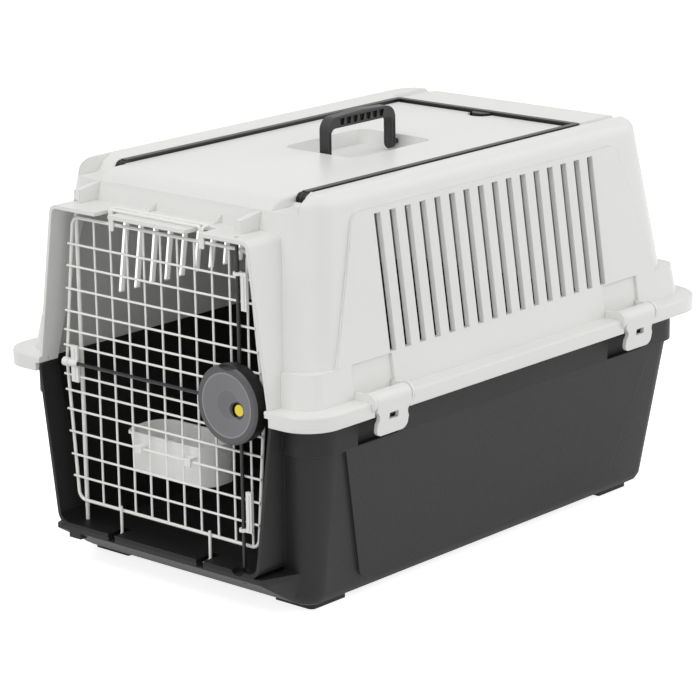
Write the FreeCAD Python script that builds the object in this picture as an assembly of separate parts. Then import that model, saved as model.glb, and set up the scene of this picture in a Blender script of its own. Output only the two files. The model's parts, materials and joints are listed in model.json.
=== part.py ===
import FreeCAD, Part
import os
from math import sin, cos, tan, pi, radians

V = FreeCAD.Vector
os.makedirs("parts", exist_ok=True)

# Overall sizes in mm. Here y is measured from the collar's front face towards the rear;
# every shape is moved at the end so that the bounding box stands centred on the origin.
FLANGE_HALF = 200.0
FLANGE_FRONT = -4.0
FLANGE_REAR = 589.0
FLANGE_FRONT_R = 34.0
FLANGE_REAR_R = 45.0
SPLIT_Z = 187.0
FLANGE_TOP = 201.0
WALL = 3.0

# Top shell: leaning walls between the flange and the roof rails.
TOP_LOW_HALF = FLANGE_HALF - 22.3
TOP_HIGH_HALF = TOP_LOW_HALF - 24.9
TOP_LOW_FRONT = 17.6
TOP_HIGH_FRONT = 48.0
TOP_LOW_REAR = 568.6
TOP_HIGH_REAR = 540.2
TOP_LOW_R = 42.0
TOP_HIGH_R = 34.0
RAIL_Z = 379.5
RAIL_ROLL = 13.0
CAVITY_TOP = 357.5
PANEL_Z = 375.0
PANEL_RAISE = 2.5
SKIRT_TOP = 231.0
SKIRT_RAISE = 2.6
SKIRT_R = 20.0

# Ventilation slots in the side panels.
SLOT_COUNT = 16
SLOT_FIRST = 127.5
SLOT_PITCH = 20.67
SLOT_WIDTH = 8.3
SLOT_LOW = 232.5
SLOT_HIGH = 356.0

# Roof: hood, pockets, bail groove, handle recess.
HOOD_HALF = 108.5
HOOD_BEND = 24.0
POCKET_HALF = 138.0
POCKET_REAR = 92.0
POCKET_FLOOR = 365.5
GROOVE_IN = 108.5
GROOVE_OUT = 119.5
GROOVE_FLOOR = 368.6
GROOVE_REAR_IN = 472.0
GROOVE_REAR_OUT = 486.0
RAIL_INNER = 376.8
RAIL_CHAMFER = 14.0
DIP_FLOOR = 374.6
RECESS_HALF = 46.0
RECESS_FRONT = 229.0
RECESS_REAR = 344.0
RECESS_FLOOR = 361.2
RECESS_DRAFT = 3.5

# Base shell.
BASE_BOTTOM = 7.0
BASE_HIGH_HALF = FLANGE_HALF - 19.5
BASE_LOW_HALF = BASE_HIGH_HALF - 27.0
BASE_LOW_FRONT = 40.0
BASE_HIGH_FRONT = 20.0
BASE_LOW_REAR = 544.5
BASE_HIGH_REAR = 558.5
BASE_LOW_R = 19.0
BASE_HIGH_R = 29.0
BASE_ROUND = 12.0
BAND_LOW = 158.0
BAND_RAISE = 3.4
BASE_PANEL_RAISE = 2.6

# Door collar, one six-sided tube shared by both shells.
COLLAR_MID_HALF = 148.0
COLLAR_TOP_HALF = 124.5
COLLAR_TOP = 348.5
COLLAR_LOW_HALF = 128.4
COLLAR_LOW = 40.0
COLLAR_DEEP = 52.0
COLLAR_TOP_R = 8.0
COLLAR_LOW_R = 14.0
COLLAR_SEAM = 195.0
SEAM_DEEP = 20.0
LEDGE = 3.5
SILL_TOP = 44.0
SLOPE_FULL = COLLAR_LOW_HALF + 2.6
SLOPE_END = COLLAR_LOW_HALF + 18.6

# Door wires.
DOOR_Y = 14.9
WIRE_R = 1.1
BORDER_R = 1.6
HINGE_R = 2.1
WELD = 0.1
MESH_SHIFT = 2.5
MESH_LEFT = -4
MESH_RIGHT = 5
MESH_CENTRE_Z = 199.0
MESH_ROWS = (14.0, 29.0, 47.5, 69.0, 91.0, 112.0)
BORDER_TOP = 336.0
BORDER_BOTTOM = 64.0
BORDER_TOP_HALF = COLLAR_TOP_HALF - 13.5
BORDER_MID_HALF = COLLAR_MID_HALF - 22.5
BORDER_LOW_HALF = COLLAR_LOW_HALF - 12.9
BORDER_LEAST = min(BORDER_TOP_HALF, BORDER_LOW_HALF)
BORDER_KINK_Z = 197.0
MESH_PITCH = (BORDER_LEAST - MESH_SHIFT - 2.0) / MESH_RIGHT
HINGE_X = 1.5 - BORDER_LEAST
HINGE_PIN_R = 1.9
PIVOT_PLAY = 0.08
LOOP_X = 57.0
LOOP_R = 1.4
LOOP_Z = 350.6
LOOP_REAR = 20.5
SLOT_HALF = 8.5
SLOT_DEEP = 24.0
FOOT_Z = 41.0
ROW_Y = DOOR_Y - 2 * WIRE_R + WELD
BORDER_Y = ROW_Y + WIRE_R + BORDER_R - WELD
HINGE_Y = BORDER_Y + BORDER_R + HINGE_R - WELD

# Lock: the upper and lower bolts run a little to the right of the knob's axis.
ROD_X = BORDER_LEAST - 8.5
LOCK_X = ROD_X - 4.5
LOCK_Z = MESH_CENTRE_Z - 0.8
KNOB_R = 36.5
KNOB_FRONT = -4.0
KNOB_BACK = 6.4
KNOB_SKIN = 2.6
DISH_R = 29.0
DISH_FLAT_R = 12.5
DISH_DEEP = 2.4
THUMB_R = 20.0
THUMB_DEEP = 4.5
ROD_R = 1.7
ROD_Y = ROW_Y - WIRE_R - ROD_R - 0.35
PEG_R = 1.5
PEG_PLAY = 0.45
CAM_FRONT = 2.6
CAM_BACK = 5.0
CAM_R = 33.0
PEG_START = 9.5
SIDE_START = 9.0
BOLT_THROW = 10.0
SIDE_THROW = 19.5
SIDE_TIP = -BORDER_MID_HALF
SIDE_POCKET = 2.2
GUIDE_DROP = 18.5
GUIDE_RISE = 15.0
UPPER_GUIDE_LONG = 34.5
LOWER_GUIDE_LONG = 38.0
SCREW_R = 2.0
BACK_PLATE_R = 24.0
WINDOW_ANGLE = -14.0
WINDOW_AT = 13.0
WINDOW_R = 7.8
WINDOW_FLOOR = 1.2
BUTTON_R = 5.2
BUTTON_TALL = 2.2

# Each bolt: its peg from the lock's axis in x and z, the way it slides, and how far.
UPPER_BOLT = ((ROD_X - LOCK_X, PEG_START), (0, 1), BOLT_THROW)
LOWER_BOLT = ((ROD_X - LOCK_X, -PEG_START), (0, -1), BOLT_THROW)
SIDE_BOLT = ((-SIDE_START, 0), (-1, 0), SIDE_THROW)
BOLTS = (UPPER_BOLT, LOWER_BOLT, SIDE_BOLT)

# Side latches.
LATCH_Y = (102.0, 468.0)
LATCH_LONG = 46.0
LATCH_X = FLANGE_HALF - 5.5
LATCH_Z = FLANGE_TOP - 1.4
LATCH_R = 8.5
LATCH_PIN_R = 3.0
LATCH_TONGUE = 42.0
LATCH_LOW = SPLIT_Z - 19.5
EAR_THICK = 4.5
EAR_GAP = 0.5
LUG_HALF = 4.6
LUG_LOW = SPLIT_Z - 3.6
LUG_HIGH = SPLIT_Z - 0.4

# Handle and bail.
HANDLE_Y0 = 238.0
HANDLE_Y1 = 335.0
HANDLE_RISE = 39.7
HANDLE_WIDE = 11.0
HANDLE_CROWN = 2.2
HANDLE_BAR = 4.6
GRIP_TALL = 12.5
HANDLE_PIVOT_Z = 368.3
HANDLE_TOP = HANDLE_PIVOT_Z + HANDLE_RISE
HANDLE_PIN_R = 2.5
BAIL_X = 114.0
BAIL_WIDE = 6.6
BAIL_LOW = 370.0
BAIL_HIGH = 377.8
BAIL_PIVOT_Y = 86.0
BAIL_PIVOT_Z = 370.5
BAIL_KNUCKLE_R = 6.2
BAIL_KNUCKLE_GAP = 0.7
BAIL_REAR = 482.0
BAIL_PIN_R = 2.0

# Feet and bowl.
FOOT_OUT = 141.0
FOOT_LONG = 46.0
FOOT_FRONT = 56.0
FOOT_REAR = 530.0
BOWL_X = -3.25
BOWL_HALF = 44.25
BOWL_BULGE = 8.0
BOWL_FRONT = 18.4
BOWL_DEEP = 50.0
BOWL_LOW = 103.0
BOWL_HIGH = 142.5
BOWL_WALL = 2.0
BOWL_R = 20.0


def box(x0, x1, y0, y1, z0, z1):
    return Part.makeBox(x1 - x0, y1 - y0, z1 - z0, V(x0, y0, z0))


def cyl(radius, start, end):
    axis = V(*end) - V(*start)
    return Part.makeCylinder(radius, axis.Length, V(*start), axis)


def rounded(points, radii):
    """Closed wire through the 3-D points, each corner rounded by its radius."""
    if not isinstance(radii, (list, tuple)):
        radii = [radii] * len(points)
    pts = [V(*p) for p in points]
    ends = []
    edges = []
    for i, p in enumerate(pts):
        a = (pts[i - 1] - p).normalize()
        b = (pts[(i + 1) % len(pts)] - p).normalize()
        r = radii[i]
        if r <= 0:
            ends.append((p, None, p))
            continue
        half = a.getAngle(b) / 2
        reach = r / tan(half)
        middle = p + (a + b).normalize() * (r / sin(half) - r)
        ends.append((p + a * reach, middle, p + b * reach))
    for i, (first, middle, last) in enumerate(ends):
        if middle is not None:
            edges.append(Part.Arc(first, middle, last).toShape())
        nxt = ends[(i + 1) % len(ends)][0]
        if (nxt - last).Length > 1e-6:
            edges.append(Part.makeLine(last, nxt))
    return Part.Wire(edges)


def prism(points, radii, push):
    return Part.Face(rounded(points, radii)).extrude(V(*push))


def prism_x(yz, radii, x0, x1):
    return prism([(x0, y, z) for y, z in yz], radii, (x1 - x0, 0, 0))


def prism_y(xz, radii, y0, y1):
    return prism([(x, y0, z) for x, z in xz], radii, (0, y1 - y0, 0))


def prism_z(xy, radii, z0, z1):
    return prism([(x, y, z0) for x, y in xy], radii, (0, 0, z1 - z0))


def frame_wire(half, front, rear, r_front, r_rear, z):
    points = [(-half, front, z), (half, front, z), (half, rear, z), (-half, rear, z)]
    return rounded(points, [r_front, r_front, r_rear, r_rear])


def loft(wires):
    return Part.makeLoft(wires, True, True)


def mix(a, b, t):
    return a + (b - a) * t


def top_section(z, off, corner=None):
    t = (z - FLANGE_TOP) / (RAIL_Z - FLANGE_TOP)
    r = corner or mix(TOP_LOW_R, TOP_HIGH_R, t) + off
    return frame_wire(mix(TOP_LOW_HALF, TOP_HIGH_HALF, t) + off, mix(TOP_LOW_FRONT, TOP_HIGH_FRONT, t) - off,
                      mix(TOP_LOW_REAR, TOP_HIGH_REAR, t) + off, r, r, z)


def base_section(z, off, inset=0.0):
    t = (z - BASE_BOTTOM) / (BAND_LOW - BASE_BOTTOM)
    r = max(mix(BASE_LOW_R, BASE_HIGH_R, t) + off - inset, 4.0)
    return frame_wire(mix(BASE_LOW_HALF, BASE_HIGH_HALF, t) + off - inset,
                      mix(BASE_LOW_FRONT, BASE_HIGH_FRONT, t) - off + inset,
                      mix(BASE_LOW_REAR, BASE_HIGH_REAR, t) + off - inset, r, r, z)


def both_sides(shape):
    return [shape, shape.mirror(V(0, 0, 0), V(1, 0, 0))]


def joined(first, others):
    return first.fuse(list(others)).removeSplitter()


def bent_rod(points, radius, bend, closed=False):
    """Round wire along straight runs joined by bends."""
    pts = [V(*p) for p in points]
    edges = []
    last = pts[0]
    for i in range(1, len(pts) - 1):
        p = pts[i]
        a = (pts[i - 1] - p).normalize()
        b = (pts[i + 1] - p).normalize()
        half = a.getAngle(b) / 2
        reach = bend / tan(half)
        middle = p + (a + b).normalize() * (bend / sin(half) - bend)
        edges.append(Part.makeLine(last, p + a * reach))
        edges.append(Part.Arc(p + a * reach, middle, p + b * reach).toShape())
        last = p + b * reach
    edges.append(Part.makeLine(last, pts[-1]))
    ring = Part.Wire(Part.makeCircle(radius, pts[0], pts[1] - pts[0]))
    return Part.Wire(edges).makePipeShell([ring], True, False)


def solid_of(shape):
    solids = sorted(shape.Solids, key=lambda s: -s.Volume)
    return solids[0]


def collar_outline(low, grow):
    """Half of the six-sided collar in x and z, drawn in by the wall when grow is negative."""
    mid = COLLAR_MID_HALF + grow
    if low:
        bottom = COLLAR_LOW if grow >= 0 else SILL_TOP
        return [(-mid, SPLIT_Z), (mid, SPLIT_Z), (COLLAR_LOW_HALF + grow, bottom), (-COLLAR_LOW_HALF - grow, bottom)]
    top = COLLAR_TOP if grow >= 0 else COLLAR_TOP - LEDGE
    return [(-mid, SPLIT_Z), (mid, SPLIT_Z), (COLLAR_TOP_HALF + grow, top), (-COLLAR_TOP_HALF - grow, top)]


def collar_half(z):
    """Outer half width of the upper collar at height z."""
    return mix(COLLAR_MID_HALF, COLLAR_TOP_HALF, (z - SPLIT_Z) / (COLLAR_TOP - SPLIT_Z))


def latch_places():
    return [(side, y) for side in (1, -1) for y in LATCH_Y]


def slope_wire(x, front, low):
    """Outline at x of the sloping apron under the door sill, from its front edge down to the height low."""
    points = [(x, front, COLLAR_LOW + 1), (x, front, COLLAR_LOW - 4), (x, BASE_LOW_FRONT + 4, low),
              (x, COLLAR_DEEP + 4, low), (x, COLLAR_DEEP + 4, COLLAR_LOW + 1)]
    return rounded(points, 0)


def make_base():
    inset = BASE_ROUND * 0.55
    outer = loft([base_section(BASE_BOTTOM, 0, inset), base_section(BASE_BOTTOM + 2.4, 0, inset * 0.42),
                  base_section(BASE_BOTTOM + BASE_ROUND * 0.7, 0, 0.0), base_section(BAND_LOW, 0)])
    upper = Part.Face(base_section(BAND_LOW, 0)).extrude(V(0, 0, SPLIT_Z - BAND_LOW))
    band = frame_wire(BASE_HIGH_HALF + BAND_RAISE, BASE_HIGH_FRONT - BAND_RAISE, BASE_HIGH_REAR + BAND_RAISE,
                      BASE_HIGH_R, BASE_HIGH_R, BAND_LOW)
    band = Part.Face(band).extrude(V(0, 0, SPLIT_Z - BAND_LOW))
    shell = joined(outer, [upper, band])

    panel_top = BAND_LOW + 0.5
    panel_yz = [(58.0, panel_top), (102.0, 22.0), (470.0, 22.0), (515.0, panel_top)]
    raised = loft([base_section(BASE_BOTTOM + 10, BASE_PANEL_RAISE), base_section(BAND_LOW + 1, BASE_PANEL_RAISE)])
    for side in both_sides(prism_x(panel_yz, [0.5, 12, 12, 0.5], FLANGE_HALF - 80, FLANGE_HALF)):
        shell = shell.fuse(raised.common(side))

    tube = prism_y(collar_outline(True, 0), [0, 0, COLLAR_LOW_R, COLLAR_LOW_R], 0, COLLAR_DEEP)
    upright = prism_y(collar_outline(False, 0), 0, 0, SEAM_DEEP)
    tube = tube.fuse(upright.common(box(-FLANGE_HALF, FLANGE_HALF, -1, SEAM_DEEP + 1, SPLIT_Z, COLLAR_SEAM)))
    full_low, end_low = BASE_BOTTOM + 1, BASE_BOTTOM + 14
    slope = loft([slope_wire(-SLOPE_END, BASE_LOW_FRONT + 2, end_low), slope_wire(-SLOPE_FULL, 0, full_low),
                  slope_wire(SLOPE_FULL, 0, full_low), slope_wire(SLOPE_END, BASE_LOW_FRONT + 2, end_low)])
    hinge_boss = box(HINGE_X - 6, HINGE_X + 9, 0, 26, COLLAR_LOW - 10, COLLAR_LOW + 1)
    shell = shell.fuse([tube, slope, hinge_boss])

    inside = loft([base_section(BASE_BOTTOM + WALL, -WALL, inset), base_section(BASE_BOTTOM + WALL + 8, -WALL),
                   base_section(BAND_LOW, -WALL)])
    inside_top = Part.Face(base_section(BAND_LOW, -WALL)).extrude(V(0, 0, SPLIT_Z - BAND_LOW + 1))
    under = prism_x([(5.5, COLLAR_LOW), (5.5, COLLAR_LOW - 1.5), (46, BASE_BOTTOM + 5), (70, BASE_BOTTOM + 5),
                     (70, COLLAR_LOW)], 0, -COLLAR_LOW_HALF + 9.5, COLLAR_LOW_HALF - 9.5)
    keep_sill = box(-COLLAR_LOW_HALF, COLLAR_LOW_HALF, 0, COLLAR_DEEP, COLLAR_LOW, SILL_TOP)
    boss = box(ROD_X - 9, ROD_X + 9, 2, 22, COLLAR_LOW - 9, COLLAR_LOW)
    inside = inside.cut(keep_sill)
    shell = shell.cut(inside.fuse([inside_top]))
    shell = shell.cut(under.cut(boss.fuse(hinge_boss)))
    opening = prism_y(collar_outline(True, -WALL), [0, 0, COLLAR_LOW_R - WALL, COLLAR_LOW_R - WALL],
                      -1, COLLAR_DEEP + 20)
    opening_high = prism_y(collar_outline(False, -WALL), 0, -1, COLLAR_DEEP + 20)
    shell = shell.cut([opening, opening_high])

    cuts = []
    for side in (-1, 1):
        x = side * LOOP_X
        cuts.append(box(x - 6, x + 3, -1, SLOT_DEEP, COLLAR_LOW - 3, SILL_TOP + 1))
    cuts.append(cyl(HINGE_PIN_R + PIVOT_PLAY, (HINGE_X, HINGE_Y, COLLAR_LOW - 6), (HINGE_X, HINGE_Y, SILL_TOP + 1)))
    cuts.append(cyl(ROD_R + 0.6, (ROD_X, ROD_Y, COLLAR_LOW - 12), (ROD_X, ROD_Y, SILL_TOP + 1)))
    cuts.append(cyl(8.0, (ROD_X, -1, SILL_TOP + 3), (ROD_X, ROD_Y, SILL_TOP + 3)))
    backs = []
    for side, y in latch_places():
        x0, x1 = sorted((side * (BASE_HIGH_HALF - 7.0), side * (BASE_HIGH_HALF - 1)))
        backs.append(box(x0, x1, y - 32, y + 28, BAND_LOW - 1.5, SPLIT_Z))
        x0, x1 = sorted((side * (BASE_HIGH_HALF - 4.0), side * (BASE_HIGH_HALF + 6)))
        cuts.append(box(x0, x1, y - 29, y + 25, BAND_LOW + 1.5, SPLIT_Z + 1))
    shell = shell.fuse(backs)
    shell = shell.cut(cuts)
    lugs = []
    for side, y in latch_places():
        back = BASE_HIGH_HALF - 6.5
        tip = LATCH_X + 4.5
        lug = prism_y([(back, LUG_LOW - 9), (tip, LUG_LOW + 1.4), (tip, LUG_HIGH), (back, LUG_HIGH)], 0,
                      y - LUG_HALF, y + LUG_HALF)
        lugs.append(lug if side > 0 else lug.mirror(V(0, 0, 0), V(1, 0, 0)))
    return solid_of(joined(shell, lugs))


def make_top():
    body = loft([top_section(FLANGE_TOP - 2, 0), top_section(RAIL_Z, 0)])
    rim = [e for e in body.Edges if all(abs(v.Z - RAIL_Z) < 0.01 for v in e.Vertexes)]
    body = body.makeFillet(RAIL_ROLL, rim)
    ramp = [(0, POCKET_FLOOR), (POCKET_REAR - 18, POCKET_FLOOR), (POCKET_REAR - 10, PANEL_Z - 0.5),
            (POCKET_REAR + 2, RAIL_Z + 1), (0, RAIL_Z + 1)]
    body = body.cut(prism_x(ramp, [0, 7, 4, 0, 0], -POCKET_HALF, POCKET_HALF))
    hood_front = mix(TOP_LOW_FRONT, TOP_HIGH_FRONT, (COLLAR_TOP - FLANGE_TOP) / (RAIL_Z - FLANGE_TOP))
    lean = (TOP_HIGH_FRONT - TOP_LOW_FRONT) / (RAIL_Z - FLANGE_TOP)
    hood = prism_x([(hood_front - 1.0, COLLAR_TOP - 1), (hood_front - 1.0 + lean * (PANEL_Z - COLLAR_TOP), PANEL_Z),
                    (110, PANEL_Z), (110, COLLAR_TOP - 1)], [0, HOOD_BEND, 0, 0], -HOOD_HALF, HOOD_HALF)
    edges = [e for e in hood.Edges if abs(e.BoundBox.XLength) < 0.01 and e.BoundBox.YMax < 109.9]
    edges = [e for e in edges if e.BoundBox.ZMax > COLLAR_TOP]
    hood = hood.makeFillet(3.0, edges)
    body = body.fuse(hood)

    flange = frame_wire(FLANGE_HALF, FLANGE_FRONT, FLANGE_REAR, FLANGE_FRONT_R, FLANGE_REAR_R, SPLIT_Z)
    flange = Part.Face(flange).extrude(V(0, 0, FLANGE_TOP - SPLIT_Z))
    soft = [e for e in flange.Edges if all(abs(v.Z - FLANGE_TOP) < 0.01 for v in e.Vertexes)]
    flange = flange.makeFillet(2.0, soft)
    skirt = loft([top_section(FLANGE_TOP - 2, SKIRT_RAISE, SKIRT_R), top_section(SKIRT_TOP, SKIRT_RAISE, SKIRT_R)])
    panel_top = SLOT_HIGH + 5
    panel_yz = [(54.0, SKIRT_TOP - 6), (100.0, panel_top), (484.0, panel_top), (530.0, SKIRT_TOP - 6)]
    raised = loft([top_section(FLANGE_TOP, PANEL_RAISE), top_section(RAIL_Z - 16, PANEL_RAISE)])
    parts = [flange, skirt]
    for side in both_sides(prism_x(panel_yz, [0.5, 12, 12, 0.5], FLANGE_HALF - 80, FLANGE_HALF)):
        parts.append(raised.common(side))
    tube = prism_y(collar_outline(False, 0), [0, 0, COLLAR_TOP_R, COLLAR_TOP_R], 0, COLLAR_DEEP)
    parts.append(tube)
    for x in (HINGE_X + 1.5, ROD_X - 6.7):
        parts.append(prism_x([(19.0, COLLAR_TOP - 1), (19.0, COLLAR_TOP + 12), (46.0, COLLAR_TOP + 16),
                              (50.0, COLLAR_TOP + 16), (50.0, COLLAR_TOP - 1)], 0, x - 3.6, x + 3.6))
    for x in (-30.0, 52.0):
        parts.append(prism_x([(31.0, COLLAR_TOP - 1), (46.0, COLLAR_TOP + 9), (46.0, COLLAR_TOP - 1)], 0, x - 1, x + 1))
    body = body.fuse(parts)

    recess_cut = []
    for side, y in latch_places():
        x0, x1 = sorted((side * (FLANGE_HALF - 50), side * (FLANGE_HALF + 5)))
        gap = box(x0, x1, y - LATCH_LONG / 2 - 4, y + LATCH_LONG / 2 + 4, FLANGE_TOP - 0.5, SKIRT_TOP)
        keep = loft([top_section(FLANGE_TOP - 2, 0), top_section(SKIRT_TOP + 4, 0)])
        recess_cut.append(gap.cut(keep))
    body = body.cut(recess_cut)

    inside = loft([top_section(SPLIT_Z - 1, -WALL), top_section(CAVITY_TOP, -WALL)])
    body = body.cut(inside)
    channel_out = frame_wire(FLANGE_HALF - WALL, FLANGE_FRONT + WALL, FLANGE_REAR - WALL, FLANGE_FRONT_R - WALL,
                             FLANGE_REAR_R - WALL, SPLIT_Z - 1)
    channel_in = frame_wire(BASE_HIGH_HALF + BAND_RAISE + 1, BASE_HIGH_FRONT - BAND_RAISE - 1,
                            BASE_HIGH_REAR + BAND_RAISE + 1, BASE_HIGH_R, BASE_HIGH_R, SPLIT_Z - 1)
    channel = Part.Face(channel_out).extrude(V(0, 0, FLANGE_TOP - SPLIT_Z - WALL + 1))
    channel = channel.cut(Part.Face(channel_in).extrude(V(0, 0, FLANGE_TOP)))
    for side, y in latch_places():
        x0, x1 = sorted((side * (FLANGE_HALF - 20), side * (FLANGE_HALF + 5)))
        channel = channel.cut(box(x0, x1, y - 36, y + 36, SPLIT_Z - 2, FLANGE_TOP))
    channel = channel.cut(box(-COLLAR_MID_HALF - 4, COLLAR_MID_HALF + 4, -20, 60, SPLIT_Z - 2, FLANGE_TOP))
    body = body.cut(channel)
    body = body.cut(prism_y(collar_outline(False, -WALL), [0, 0, COLLAR_TOP_R - WALL, COLLAR_TOP_R - WALL],
                            FLANGE_FRONT - 2, COLLAR_DEEP + 20))

    cuts = []
    for k in range(SLOT_COUNT):
        y = SLOT_FIRST + k * SLOT_PITCH
        cuts += both_sides(box(FLANGE_HALF - 70, FLANGE_HALF - 10, y, y + SLOT_WIDTH, SLOT_LOW, SLOT_HIGH))
    for side in (-1, 1):
        x = side * LOOP_X
        cuts.append(box(x - SLOT_HALF, x + SLOT_HALF, -1, SLOT_DEEP, COLLAR_TOP - LEDGE - 1, COLLAR_TOP + 1))
    cuts.append(cyl(HINGE_PIN_R + PIVOT_PLAY, (HINGE_X, HINGE_Y, COLLAR_TOP - 5), (HINGE_X, HINGE_Y, COLLAR_TOP + 2.6)))
    cuts.append(cyl(ROD_R + 0.6, (ROD_X, ROD_Y, COLLAR_TOP - 5), (ROD_X, ROD_Y, COLLAR_TOP + 7.6)))
    wall_x = -collar_half(LOCK_Z) + WALL - SIDE_POCKET
    cuts.append(cyl(ROD_R + 0.35, (wall_x, ROD_Y, LOCK_Z), (wall_x + 14, ROD_Y, LOCK_Z)))
    cuts.append(box(-COLLAR_MID_HALF - 0.3, COLLAR_MID_HALF + 0.3, FLANGE_FRONT - 2, SEAM_DEEP + 0.3, SPLIT_Z - 1,
                    COLLAR_SEAM))
    for side, y in latch_places():
        x0, x1 = sorted((side * (LATCH_X - 8.9), side * (FLANGE_HALF + 6)))
        half = LATCH_LONG / 2 + EAR_GAP
        cuts.append(box(x0, x1, y - half, y + half, SPLIT_Z - 1, FLANGE_TOP + 12))
    cuts.append(box(-GROOVE_OUT, GROOVE_OUT, POCKET_REAR - 20, GROOVE_REAR_OUT, PANEL_Z, RAIL_Z + 5))
    chamfer = prism_y([(GROOVE_OUT - 1, RAIL_INNER), (GROOVE_OUT, RAIL_INNER), (GROOVE_OUT + RAIL_CHAMFER, RAIL_Z + 0.1),
                       (GROOVE_OUT + RAIL_CHAMFER, RAIL_Z + 2), (GROOVE_OUT - 1, RAIL_Z + 2)], 0, POCKET_REAR - 4,
                      TOP_LOW_REAR)
    cuts += both_sides(chamfer)
    cuts.append(box(-GROOVE_OUT, GROOVE_OUT, GROOVE_REAR_OUT - 1, TOP_LOW_REAR, RAIL_INNER, RAIL_Z + 5))
    groove = box(GROOVE_IN, GROOVE_OUT, POCKET_REAR - 20, GROOVE_REAR_OUT, GROOVE_FLOOR, RAIL_Z + 5)
    dip = box(GROOVE_OUT - 6, GROOVE_OUT + 6, GROOVE_REAR_OUT - 1, TOP_LOW_REAR, DIP_FLOOR, RAIL_Z + 5)
    well = cyl(BAIL_KNUCKLE_R + BAIL_KNUCKLE_GAP, (GROOVE_IN, BAIL_PIVOT_Y, BAIL_PIVOT_Z),
               (GROOVE_OUT, BAIL_PIVOT_Y, BAIL_PIVOT_Z))
    cuts += both_sides(groove) + both_sides(dip) + both_sides(well)
    cuts.append(box(-GROOVE_OUT, GROOVE_OUT, GROOVE_REAR_IN, GROOVE_REAR_OUT, GROOVE_FLOOR, RAIL_Z + 5))
    moon = Part.makeCylinder(14.0, 12.0, V(0, GROOVE_REAR_IN + 1, GROOVE_FLOOR + 1.4))
    cuts.append(moon)
    low = rounded([(-RECESS_HALF + RECESS_DRAFT, RECESS_FRONT + RECESS_DRAFT, RECESS_FLOOR),
                   (RECESS_HALF - RECESS_DRAFT, RECESS_FRONT + RECESS_DRAFT, RECESS_FLOOR),
                   (RECESS_HALF - RECESS_DRAFT, RECESS_REAR - RECESS_DRAFT, RECESS_FLOOR),
                   (-RECESS_HALF + RECESS_DRAFT, RECESS_REAR - RECESS_DRAFT, RECESS_FLOOR)], 9.0)
    high = rounded([(-RECESS_HALF, RECESS_FRONT, PANEL_Z + 0.5), (RECESS_HALF, RECESS_FRONT, PANEL_Z + 0.5),
                    (RECESS_HALF, RECESS_REAR, PANEL_Z + 0.5), (-RECESS_HALF, RECESS_REAR, PANEL_Z + 0.5)], 12.0)
    cuts.append(loft([low, high]))
    cuts.append(cyl(HANDLE_PIN_R + PIVOT_PLAY, (0, RECESS_FRONT - 4, HANDLE_PIVOT_Z),
                    (0, RECESS_REAR + 4, HANDLE_PIVOT_Z)))
    cuts.append(cyl(BAIL_PIN_R + PIVOT_PLAY, (-GROOVE_OUT - 22, BAIL_PIVOT_Y, BAIL_PIVOT_Z),
                    (-GROOVE_IN + 4, BAIL_PIVOT_Y, BAIL_PIVOT_Z)))
    cuts.append(cyl(BAIL_PIN_R + PIVOT_PLAY, (GROOVE_IN - 4, BAIL_PIVOT_Y, BAIL_PIVOT_Z),
                    (GROOVE_OUT + 22, BAIL_PIVOT_Y, BAIL_PIVOT_Z)))
    roof_low = PANEL_Z - WALL
    cuts.append(box(-104.5, 104.5, 62, RECESS_FRONT - 8, CAVITY_TOP - 1, roof_low))
    cuts.append(box(-104.5, 104.5, RECESS_REAR + 8, GROOVE_REAR_IN - 22, CAVITY_TOP - 1, roof_low))
    for side in (-1, 1):
        x0, x1 = sorted((side * 54.0, side * 104.5))
        cuts.append(box(x0, x1, RECESS_FRONT - 9, RECESS_REAR + 9, CAVITY_TOP - 1, roof_low))
        x0, x1 = sorted((side * 123.0, side * 144.0))
        cuts.append(box(x0, x1, 96, 480, CAVITY_TOP - 1, RAIL_Z - WALL - 0.5))
    body = body.cut(cuts)

    adds = []
    for side, y in latch_places():
        half = LATCH_LONG / 2 + EAR_GAP
        x = side * LATCH_X
        for s in (-1, 1):
            y0 = y + s * half
            y1 = y0 + s * EAR_THICK
            ear = cyl(LATCH_R + 0.4, (x, y0, LATCH_Z), (x, y1, LATCH_Z))
            x0, x1 = sorted((side * (LATCH_X - 16.5), side * (LATCH_X + 3)))
            web = box(x0, x1, min(y0, y1), max(y0, y1), SPLIT_Z + 6, LATCH_Z + LATCH_R - 1)
            trim = box(x - 12, x + 12, min(y0, y1) - 1, max(y0, y1) + 1, SPLIT_Z - 12, SPLIT_Z)
            adds.append(ear.cut(trim))
            adds.append(web)
        adds.append(cyl(LATCH_PIN_R, (x, y - half - 1, LATCH_Z), (x, y + half + 1, LATCH_Z)))
    return solid_of(joined(body, adds))


def border_half(z):
    """Half width of the door border at height z."""
    if z >= BORDER_KINK_Z:
        return mix(BORDER_MID_HALF, BORDER_TOP_HALF, (z - BORDER_KINK_Z) / (BORDER_TOP - BORDER_KINK_Z))
    return mix(BORDER_MID_HALF, BORDER_LOW_HALF, (BORDER_KINK_Z - z) / (BORDER_KINK_Z - BORDER_BOTTOM))


def make_border():
    halves = []
    for s in (-1, 1):
        path = [(0, BORDER_Y, BORDER_TOP), (s * BORDER_TOP_HALF, BORDER_Y, BORDER_TOP),
                (s * BORDER_MID_HALF, BORDER_Y, BORDER_KINK_Z), (s * BORDER_LOW_HALF, BORDER_Y, BORDER_BOTTOM),
                (0, BORDER_Y, BORDER_BOTTOM)]
        halves.append(bent_rod(path, BORDER_R, 9.0))
    return solid_of(joined(halves[0], halves[1:]))


def make_hinge_rod():
    body = cyl(HINGE_R, (HINGE_X, HINGE_Y, BORDER_BOTTOM - 8), (HINGE_X, HINGE_Y, COLLAR_TOP - LEDGE - 1.0))
    pin = cyl(HINGE_PIN_R, (HINGE_X, HINGE_Y, COLLAR_LOW - 5), (HINGE_X, HINGE_Y, COLLAR_TOP + 1.6))
    return solid_of(joined(body, [pin]))


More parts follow.
